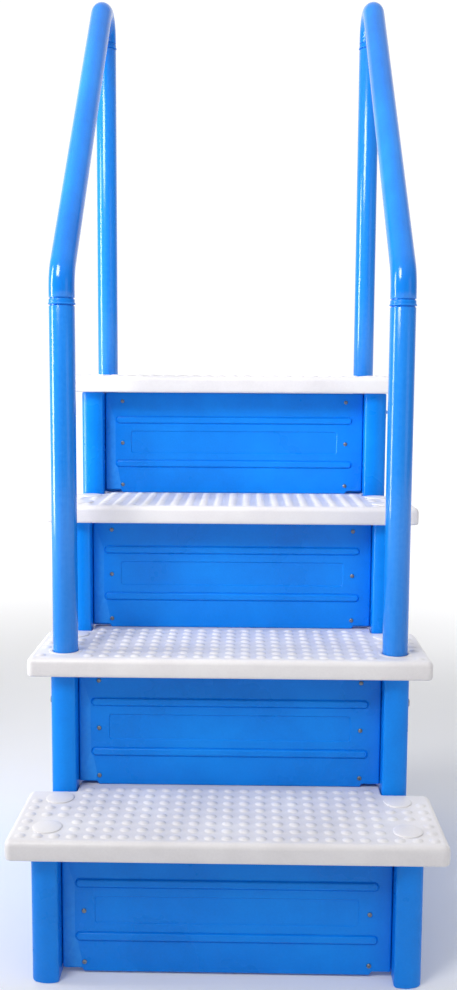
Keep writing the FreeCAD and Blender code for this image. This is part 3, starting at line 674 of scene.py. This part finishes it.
def pan_head(place):
    """A pan-head screw with a cross recess, its head's seat at height 0."""
    surface = Surface(place)
    head, crown = 4.2, 2.4
    first, last = surface.loft(disc(0, 0, head), [
        (2.1, -SCREW_LENGTH), (2.1, -0.2), (1.9, 0), (0.15, 0), (0, 0.2), (0, 0.9), (0.25, 1.5),
        (0.8, 2.0), (1.4, 2.3), (2.0, crown)])
    surface.tip(first, -SCREW_LENGTH - 1.2)
    surface.fill(last, [cross_recess(surface, 2.0, crown, 1.3)])
    return surface


def make_screws():
    screws = []
    for step in STEPS:
        low, _ = corners_of(f"riser_{step}")
        for side in SIDES.values():
            for height in SCREW_ROWS:
                x, seat, z = side * SCREW_X, riser_face(step) + SCREW_SEAT, low.z + height
                # Each recess stands at an angle of its own, as a driver left it.
                spin = math.radians(17 + 31 * (step + height) * (side + 2) % 90)
                turn = Matrix.Rotation(spin, 2)

                def place(u, v, level, x=x, seat=seat, z=z, turn=turn):
                    turned = turn @ Vector((u, v))
                    return x + turned.x, seat - level, z + turned.y
                screws.append(pan_head(place))
    make_piece("riser_screw_set", screws, stainless_steel, ["riser_screws"], 28)


# ---------------------------------------------------------------------------------------------
# Side panels
# ---------------------------------------------------------------------------------------------

# Across the panel from its inner face outwards: place, and how far the fronts and the other edges
# stand back there. The fronts are gently crowned.
PANEL_SECTION = [
    (0.0, 7.2, 3.2), (0.5, 5.8, 1.8), (1.4, 4.4, 0.8), (3.2, 3.1, 0.1), (7.0, 1.7, 0.0),
    (13.0, 0.5, 0.0), (20.0, 0.0, 0.0), (27.0, 0.5, 0.0), (34.0, 2.2, 0.0), (39.5, 4.6, 0.0),
    (43.5, 7.4, 0.1), (46.2, 10.2, 0.8), (47.5, 12.4, 1.9), (48.0, 14.2, 3.4),
]

# The sunk fields of the outer face: how far each stays below its tread, above the floor, behind
# the panel's front, before the next step's front and before the panel's rear.
FIELD_BELOW, FIELD_ABOVE, FIELD_BEHIND, FIELD_BEFORE, FIELD_REAR = 34, 40, 46, 8, 42
# Depths of a field's edge under the face, by how far inside its outline
FIELD_EDGE = [(-1.6, 0), (-1.2, 0), (-0.3, 0.15), (0.5, 0.8), (1.1, 1.5), (2.0, 1.9), (3.2, 2),
              (3.6, 2)]

# The lips behind the risers' ends, which the screws bite into
LIP_WIDTH, LIP_THICKNESS = 56, 6
LOWEST_LIP_FOOT = 24


def staircase(front_inset, edge_inset):
    """The panel's outline in side view, anticlockwise from its lowest front corner."""
    tops = [tread_underside(step) for step in STEPS]
    fronts = [panel_front(step) for step in STEPS]
    rear, foot = panel_high.y - edge_inset, panel_low.z + edge_inset
    corners = [(fronts[0] + front_inset, foot), (rear, foot), (rear, tops[-1] - edge_inset)]
    radii = [1.5, 5, 5]
    for place in reversed(range(len(tops))):
        corners.append((fronts[place] + front_inset, tops[place] - edge_inset))
        radii.append(3)
        if place:
            corners.append((fronts[place] + front_inset, tops[place - 1] - edge_inset))
            radii.append(1.5)
    return polygon(corners, radii, 4)


def make_panel(side_name):
    side = SIDES[side_name]
    surface = Surface(lambda u, v, height: (side * (PANEL_INSIDE + height), u, v))
    rings = [surface.ring(staircase(front_inset, edge_inset), 0, across)
             for across, front_inset, edge_inset in PANEL_SECTION]
    for lower, upper in zip(rings, rings[1:]):
        surface.band(lower, upper)
    caps = [surface.ring(staircase(front_inset + HOLD, edge_inset + HOLD), 0, across)
            for across, front_inset, edge_inset in (PANEL_SECTION[0], PANEL_SECTION[-1])]
    surface.band(rings[0], caps[0])
    surface.band(rings[-1], caps[1])
    surface.fill(caps[0])

    # Sunk fields on the outer face, one under each tread
    fields = []
    for step in STEPS:
        front = panel_front(step) + FIELD_BEHIND
        rear = panel_front(step) + TREAD_RUN - FIELD_BEFORE
        if step == len(STEPS):
            rear = panel_high.y - FIELD_REAR
        outline = rectangle(front, panel_low.z + FIELD_ABOVE, rear,
                            tread_underside(step) - FIELD_BELOW, 16, 8)
        mouth, floor = surface.loft(
            outline, [(inset, PANEL_THICKNESS - depth) for inset, depth in FIELD_EDGE])
        surface.fill(floor)
        fields.append(mouth)
    surface.fill(caps[1], fields)

    lips = []
    for step in STEPS:
        low, high = corners_of(f"riser_{step}")
        near = riser_face(step) + RISER_DEPTH
        lip = Surface(lambda u, v, height, near=near: (side * u, near + height, v))
        foot = low.z + LOWEST_LIP_FOOT if step == 1 else low.z - 0.5
        boxed(lip, (PANEL_INSIDE - LIP_WIDTH, foot, 0),
              (PANEL_INSIDE + 2, high.z - 1, LIP_THICKNESS), 1)
        lips.append(lip)
    make_piece(f"side_panel_{side_name}_shell", [surface, *lips], blue_polyethylene,
               [f"side_panel_{side_name}"])


# ---------------------------------------------------------------------------------------------
# Rails
# ---------------------------------------------------------------------------------------------

ELBOW, CROWN = 75, 45                       # radii of the lower bend and of the loop at the top
ELBOW_LEAD, CROWN_LEAD = 17, 8              # straight tube before the elbow and after the crown
COLLAR_TONGUE = 70                          # length of a collar's stem below its band


def make_leg(node):
    """A straight tube with broken edges."""
    low, high = corners_of(node)
    middle = (low + high) / 2
    surface = Surface()
    wall = TUBE_WALL
    surface.tube(disc(middle.x, middle.y, TUBE, ROUND), [
        (wall, low.z + 0.7), (wall - 0.7, low.z), (0.8, low.z), (0.2, low.z + 0.3),
        (0, low.z + 0.9), (0, high.z - 1.0), (0.3, high.z - 0.4), (0.9, high.z),
        (wall - 0.7, high.z), (wall, high.z - 0.7)])
    make_piece(f"{node}_tube", [surface], blue_pvc, [node])


def make_collar(node):
    """The band between two tubes: a groove, a bead, a plain band and a second groove."""
    low, high = corners_of(node)
    middle = (low + high) / 2
    foot = low.z + COLLAR_TONGUE
    tongue, bore = TUBE - SPIGOT, TUBE - SPIGOT_BORE
    surface = Surface()
    surface.tube(disc(middle.x, middle.y, TUBE, ROUND), [
        (bore, low.z), (tongue, low.z), (tongue, foot - 0.4),
        (2.2, foot), (2.2, foot + 1.9), (0.6, foot + 2.1), (-0.7, foot + 2.6),
        (-1.3, foot + 3.4), (-1.3, foot + 4.4), (-0.8, foot + 5.2), (-0.1, foot + 5.8),
        (0.1, foot + 6.6), (0.1, foot + 11.4), (0.4, foot + 12.2), (1.0, foot + 12.7),
        (2.2, foot + 12.9), (2.2, foot + 15), (tongue, foot + 15), (tongue, high.z),
        (bore, high.z)])
    make_piece(f"{node}_band", [surface], blue_nylon, [node])


def bend(centre, radius, start, finish, steps):
    """Points (y, z) and headings round a bend that turns downwards."""
    turns = [start - (start - finish) * step / steps for step in range(steps + 1)]
    return [(centre + radius * Vector((math.cos(turn), math.sin(turn))), turn - math.pi / 2)
            for turn in turns]


def rail_path(low, high):
    """Points (y, z) and headings along a rail's centre line, from the front collar to the rear."""
    elbow = Vector((FRONT_LEG_Y + ELBOW, low.z + ELBOW_LEAD))
    crown = Vector((REAR_LEG_Y - CROWN, high.z - TUBE - CROWN))
    apart = crown - elbow
    slope = math.atan2(apart.y, apart.x) - math.asin((ELBOW - CROWN) / apart.length)
    across_slope = slope + math.pi / 2
    return [(Vector((FRONT_LEG_Y, low.z)), math.pi / 2),
            *bend(elbow, ELBOW, math.pi, across_slope, 18),
            *bend(crown, CROWN, across_slope, 0, 40),
            (Vector((REAR_LEG_Y, crown.y - CROWN_LEAD)), -math.pi / 2)]


def make_upper_rail(side_name):
    node = f"upper_rail_{side_name}"
    low, high = corners_of(node)
    across = (low.x + high.x) / 2
    path = rail_path(low, high)
    surface = Surface()
    # How the ends' edges are broken: distance into the tube, and radius
    broken = [(0.5, BORE), (0, BORE + 0.6), (0, TUBE - 0.8), (0.3, TUBE - 0.2), (0.9, TUBE)]

    def ring(spot, heading, radius):
        first = len(surface.points)
        for point in disc(0, 0, radius, ROUND)(0):
            outwards = Vector((-math.sin(heading), math.cos(heading))) * point.y
            surface.points.append(Vector((
                across + point.x, spot.x + outwards.x, spot.y + outwards.y)))
            surface.flat.append(point)
        return list(range(first, len(surface.points)))

    def end_ring(end, along, radius):
        spot, heading = path[end]
        return ring(spot + Vector((math.cos(heading), math.sin(heading))) * along, heading, radius)

    rings = [end_ring(0, along, radius) for along, radius in broken]
    rings += [ring(spot, heading, TUBE) for spot, heading in path[1:-1]]
    rings += [end_ring(-1, -along, radius) for along, radius in reversed(broken)]
    rings += [ring(spot, heading, BORE) for spot, heading in reversed(path[1:-1])]
    for lower, upper in zip(rings, rings[1:] + rings[:1]):
        surface.band(lower, upper)
    make_piece(f"{node}_tube", [surface], blue_pvc, [node])


# ---------------------------------------------------------------------------------------------
# Deck flanges and the bolts
# ---------------------------------------------------------------------------------------------

PLATE = 8                                   # thickness of a flange's plate
HUB = 34                                    # radius of its hub at the plate
HUB_FLOOR = 4                               # height of the ledge that the rear leg stands on
DRAIN = 6                                   # how much smaller the hole below the leg is
ANCHOR_CIRCLE, ANCHOR_HOLE = 50, 3.5        # radii

BOLT_FLATS, BOLT_HEAD = 13, 5.3
BOLT_RADIUS = 4
BOLT_POINTS = 36                            # points round a bolt or nut
NUT_HEIGHT = 6.5
RAIL_BOLT_LENGTH = 24
NUT_GRIP = 8.5                              # how far a flange bolt passes the tube's far side


def make_flange(side_name):
    node = f"deck_flange_{side_name}"
    low, high = corners_of(node)
    middle = (low + high) / 2
    surface = Surface(lambda u, v, height: (u, v, low.z + height))
    base = min(high.x - low.x, high.y - low.y) / 2
    tall = high.z - low.z
    bottom, rim = surface.loft(disc(middle.x, middle.y, base, ROUND), [
        (1.0, 0), (0.3, 0.3), (0, 1.0), (0, 4.6), (0.4, 5.8), (1.4, 6.9), (3.0, 7.6), (5.0, PLATE),
        (5.4, PLATE)])
    socket = HUB - TUBE - 0.15
    root, drain = surface.loft(disc(middle.x, middle.y, HUB, ROUND), [
        (-4.4, PLATE), (-4.0, PLATE), (-1.8, 8.5), (-0.5, 9.8), (0.1, 12), (3.6, tall - 2.6),
        (3.9, tall - 1.2), (4.6, tall - 0.3), (5.6, tall), (socket - 1.2, tall),
        (socket - 0.3, tall - 0.4), (socket, tall - 1.4), (socket, HUB_FLOOR),
        (HUB - DRAIN, HUB_FLOOR), (HUB - DRAIN, 0)])
    tops, bottoms = [root], [drain]
    for step in range(4):
        turn = math.radians(45 + 90 * step)
        hole = disc(middle.x + ANCHOR_CIRCLE * math.cos(turn),
                    middle.y + ANCHOR_CIRCLE * math.sin(turn), ANCHOR_HOLE)
        mouth, end = surface.loft(hole, [
            (-3.2, PLATE), (-2.8, PLATE), (-2.4, 7.8), (0, 5.4), (0, 0.3), (-0.3, 0)])
        tops.append(mouth)
        bottoms.append(end)
    surface.fill(rim, tops)
    surface.fill(bottom, bottoms)
    make_piece(f"deck_flange_{side_name}_foot", [surface], blue_polyethylene, [node], 40)


def hexagon(surface, top):
    """The sides of a hexagon from height 0, chamfered at the top. Returns both end rings."""
    half_flats, corner = BOLT_FLATS / 2, BOLT_FLATS / math.sqrt(3)

    def outline(inset):
        points = []
        for step in range(BOLT_POINTS):
            turn = math.tau * step / BOLT_POINTS
            off = (turn + math.pi / 6) % (math.pi / 3) - math.pi / 6
            reach = half_flats / math.cos(off)
            points.append(Vector((math.cos(turn), math.sin(turn))) * (reach - inset))
        return points

    chamfer = (corner - half_flats) * 0.6
    first, side = surface.loft(outline, [(0, 0), (0, top - chamfer)])
    crown = surface.ring(disc(0, 0, half_flats * 0.97, BOLT_POINTS), 0, top)
    for edge in side:
        point = surface.flat[edge]
        lift = chamfer * (1 - (point.length - half_flats) / (corner - half_flats))
        surface.points[edge] = Vector(surface.place(point.x, point.y, top - chamfer + lift * 0.85))
    surface.band(side, crown)
    return first, crown


def hexagon_bolt(place, length):
    """A bolt with a dished head, its head's seat at height 0."""
    surface = Surface(place)
    seat, crown = hexagon(surface, BOLT_HEAD)
    dish, floor = surface.loft(disc(0, 0, 5.2, BOLT_POINTS), [
        (0, BOLT_HEAD), (0.5, BOLT_HEAD - 0.3), (1.0, BOLT_HEAD - 0.3)])
    surface.band(crown, dish)
    surface.fill(floor)
    shank, end = surface.loft(disc(0, 0, BOLT_RADIUS, BOLT_POINTS), [
        (0, 0), (0, 1 - length), (0.8, -length)])
    surface.fill(seat, [shank])
    surface.fill(end)
    return surface


def hexagon_nut(place):
    surface = Surface(place)
    seat, crown = hexagon(surface, NUT_HEIGHT)
    mouth, back = surface.loft(disc(0, 0, BOLT_RADIUS, BOLT_POINTS), [
        (-0.6, NUT_HEIGHT), (0, NUT_HEIGHT - 0.6), (0, 0.6), (-0.6, 0)])
    surface.band(crown, mouth)
    surface.band(back, seat)
    return surface


def make_bolts():
    low, high = corners_of("rail_bolts")
    height = (low.z + high.z) / 2
    rail_bolts = [
        hexagon_bolt(lambda u, v, level, side=side, height=height: (
            side * (PANEL_OUTSIDE + level), FRONT_LEG_Y + u, height + v), RAIL_BOLT_LENGTH)
        for side in SIDES.values()]
    make_piece("rail_bolt_pair", rail_bolts, stainless_steel, ["rail_bolts"], 28)

    low, high = corners_of("flange_bolts")
    height = (low.z + high.z) / 2
    head_seat = high.x - BOLT_HEAD
    nut_seat = 2 * RAIL_X - head_seat
    length = 2 * (head_seat - RAIL_X) + NUT_GRIP
    bolts, nuts = [], []
    for side in SIDES.values():
        bolts.append(hexagon_bolt(lambda u, v, level, side=side: (
            side * (head_seat + level), REAR_LEG_Y + u, height + v), length))
        nuts.append(hexagon_nut(lambda u, v, level, side=side: (
            side * (nut_seat - level), REAR_LEG_Y + u, height + v)))
    make_piece("flange_bolt_pair", bolts, stainless_steel, ["flange_bolts"], 28)
    make_piece("flange_nut_pair", nuts, stainless_steel, ["flange_nuts"], 28)


# ---------------------------------------------------------------------------------------------
# The unit
# ---------------------------------------------------------------------------------------------

for step_number in STEPS:
    make_tread(step_number)
    make_riser(step_number)
for plug_node in sorted(name for name in frame["nodes"] if name.startswith("tread_plug")):
    make_plug(plug_node)
make_screws()
for hand in SIDES:
    make_panel(hand)
    make_leg(f"front_leg_{hand}")
    make_leg(f"rear_leg_{hand}")
    make_collar(f"front_collar_{hand}")
    make_collar(f"rear_collar_{hand}")
    make_upper_rail(hand)
    make_flange(hand)
make_bolts()


# ---------------------------------------------------------------------------------------------
# Floor, light and camera
# ---------------------------------------------------------------------------------------------

def studio_floor():
    """Matt white vinyl, with a faint mottle. Away from the object it glows: painted light that
    makes it read white.
    """
    material = empty_material("studio_floor_vinyl")
    tree = material.node_tree
    where = add_node(tree, "ShaderNodeTexCoord").outputs["Object"]
    mottle = add_node(tree, "ShaderNodeTexNoise", {
        "Vector": where, "Scale": per_metre(600), "Detail": 3.0})
    tone = add_node(tree, "ShaderNodeValToRGB", {"Fac": mottle.outputs[0]})
    tone.color_ramp.elements[0].color = colour("#F0F0F2")
    tone.color_ramp.elements[1].color = colour("#F5F5F6")
    away = add_node(tree, "ShaderNodeVectorMath", {0: where}, operation="LENGTH")
    # Painted light: the floor's emission grows from faint near the object to bright far from it.
    painted_floor_glow = add_node(tree, "ShaderNodeMapRange", {
        "Value": away.outputs["Value"], "From Min": 1.2, "From Max": 4.2,
        "To Min": 0.02, "To Max": 0.55}, interpolation_type="SMOOTHSTEP")
    grain = add_node(tree, "ShaderNodeBump", {
        "Height": mottle.outputs[0], "Distance": 0.3 * MM, "Strength": 1.0})
    shader = add_node(tree, "ShaderNodeBsdfPrincipled", {
        "Base Color": tone.outputs[0], "Roughness": 0.8, "Emission Color": colour("#FFFFFF"),
        "Emission Strength": painted_floor_glow.outputs[0], "Normal": grain.outputs[0]})
    add_node(tree, "ShaderNodeOutputMaterial", {"Surface": shader.outputs[0]})
    return material


FLOOR_REACH = 30  # metres from the middle to each side
floor_mesh = bpy.data.meshes.new("studio_floor")
floor_mesh.from_pydata(
    [(x * FLOOR_REACH, y * FLOOR_REACH, 0) for x, y in ((-1, -1), (1, -1), (1, 1), (-1, 1))],
    [], [(0, 1, 2, 3)])
floor_mesh.materials.append(studio_floor())
floor_object = bpy.data.objects.new("studio_floor", floor_mesh)
bpy.context.scene.collection.objects.link(floor_object)


def soft_light(name, place, aim, size, power, spread):
    """A softbox in metres and watts, whose light opens by `spread` degrees."""
    lamp = bpy.data.lights.new(name, "AREA")
    lamp.shape = "RECTANGLE"
    lamp.size, lamp.size_y = size
    lamp.energy = power
    lamp.spread = math.radians(spread)
    holder = bpy.data.objects.new(name, lamp)
    holder.location = place
    holder.rotation_mode = "QUATERNION"
    holder.rotation_quaternion = (Vector(aim) - Vector(place)).to_track_quat("-Z", "Y")
    bpy.context.scene.collection.objects.link(holder)


soft_light("key_softbox", (-1.3, -1.9, 2.9), (0, 0.2, 1.3), (1.0, 1.0), 13, 80)
soft_light("side_strip", (-2.3, -0.3, 1.5), (0, 0.1, 1.5), (0.5, 2.0), 18, 90)
soft_light("fill_softbox", (3.4, -2.8, 1.9), (0, 0, 1.3), (2.0, 2.4), 2.5, 90)

# The studio's far wall is lit, so it is white behind the object and its sides pick up bright rims.
# The ceiling is a little dimmer, and the rest of the room is grey.
world = bpy.data.worlds.new("studio")
world.use_nodes = True
world_tree = world.node_tree
world_tree.nodes.clear()
towards = add_node(world_tree, "ShaderNodeSeparateXYZ", {
    0: add_node(world_tree, "ShaderNodeTexCoord").outputs["Generated"]})
wall = add_node(world_tree, "ShaderNodeMapRange", {
    "Value": towards.outputs["Y"], "From Min": 0.35, "From Max": 0.85,
    "To Min": 0.28, "To Max": 1.06}, interpolation_type="SMOOTHSTEP")
ceiling = add_node(world_tree, "ShaderNodeMapRange", {
    "Value": towards.outputs["Z"], "From Min": 0.3, "From Max": 0.95,
    "To Min": 0.28, "To Max": 0.82}, interpolation_type="SMOOTHSTEP")
brightest = add_node(world_tree, "ShaderNodeMath", {0: wall.outputs[0], 1: ceiling.outputs[0]},
                     operation="MAXIMUM")
sky = add_node(world_tree, "ShaderNodeBackground", {
    "Color": colour("#FFFFFF"), "Strength": brightest.outputs[0]})
add_node(world_tree, "ShaderNodeOutputWorld", {"Surface": sky.outputs[0]})
bpy.context.scene.world = world
bpy.context.scene.view_settings.view_transform = "Standard"

# The camera stands before the unit at about waist height and looks slightly down.
EYE = Vector((0.0285, -2.1611, 1.0456))
TURN, DIP, ROLL = 0.017, 0.1084, 0.0057     # radians
camera_data = bpy.data.cameras.new("camera")
camera_data.sensor_width = 36
camera_data.lens = 37.61
camera = bpy.data.objects.new("camera", camera_data)
camera.matrix_world = (Matrix.Translation(EYE) @ Matrix.Rotation(TURN, 4, "Z")
                       @ Matrix.Rotation(math.pi / 2 - DIP, 4, "X") @ Matrix.Rotation(ROLL, 4, "Z"))
bpy.context.scene.collection.objects.link(camera)
bpy.context.scene.camera = camera
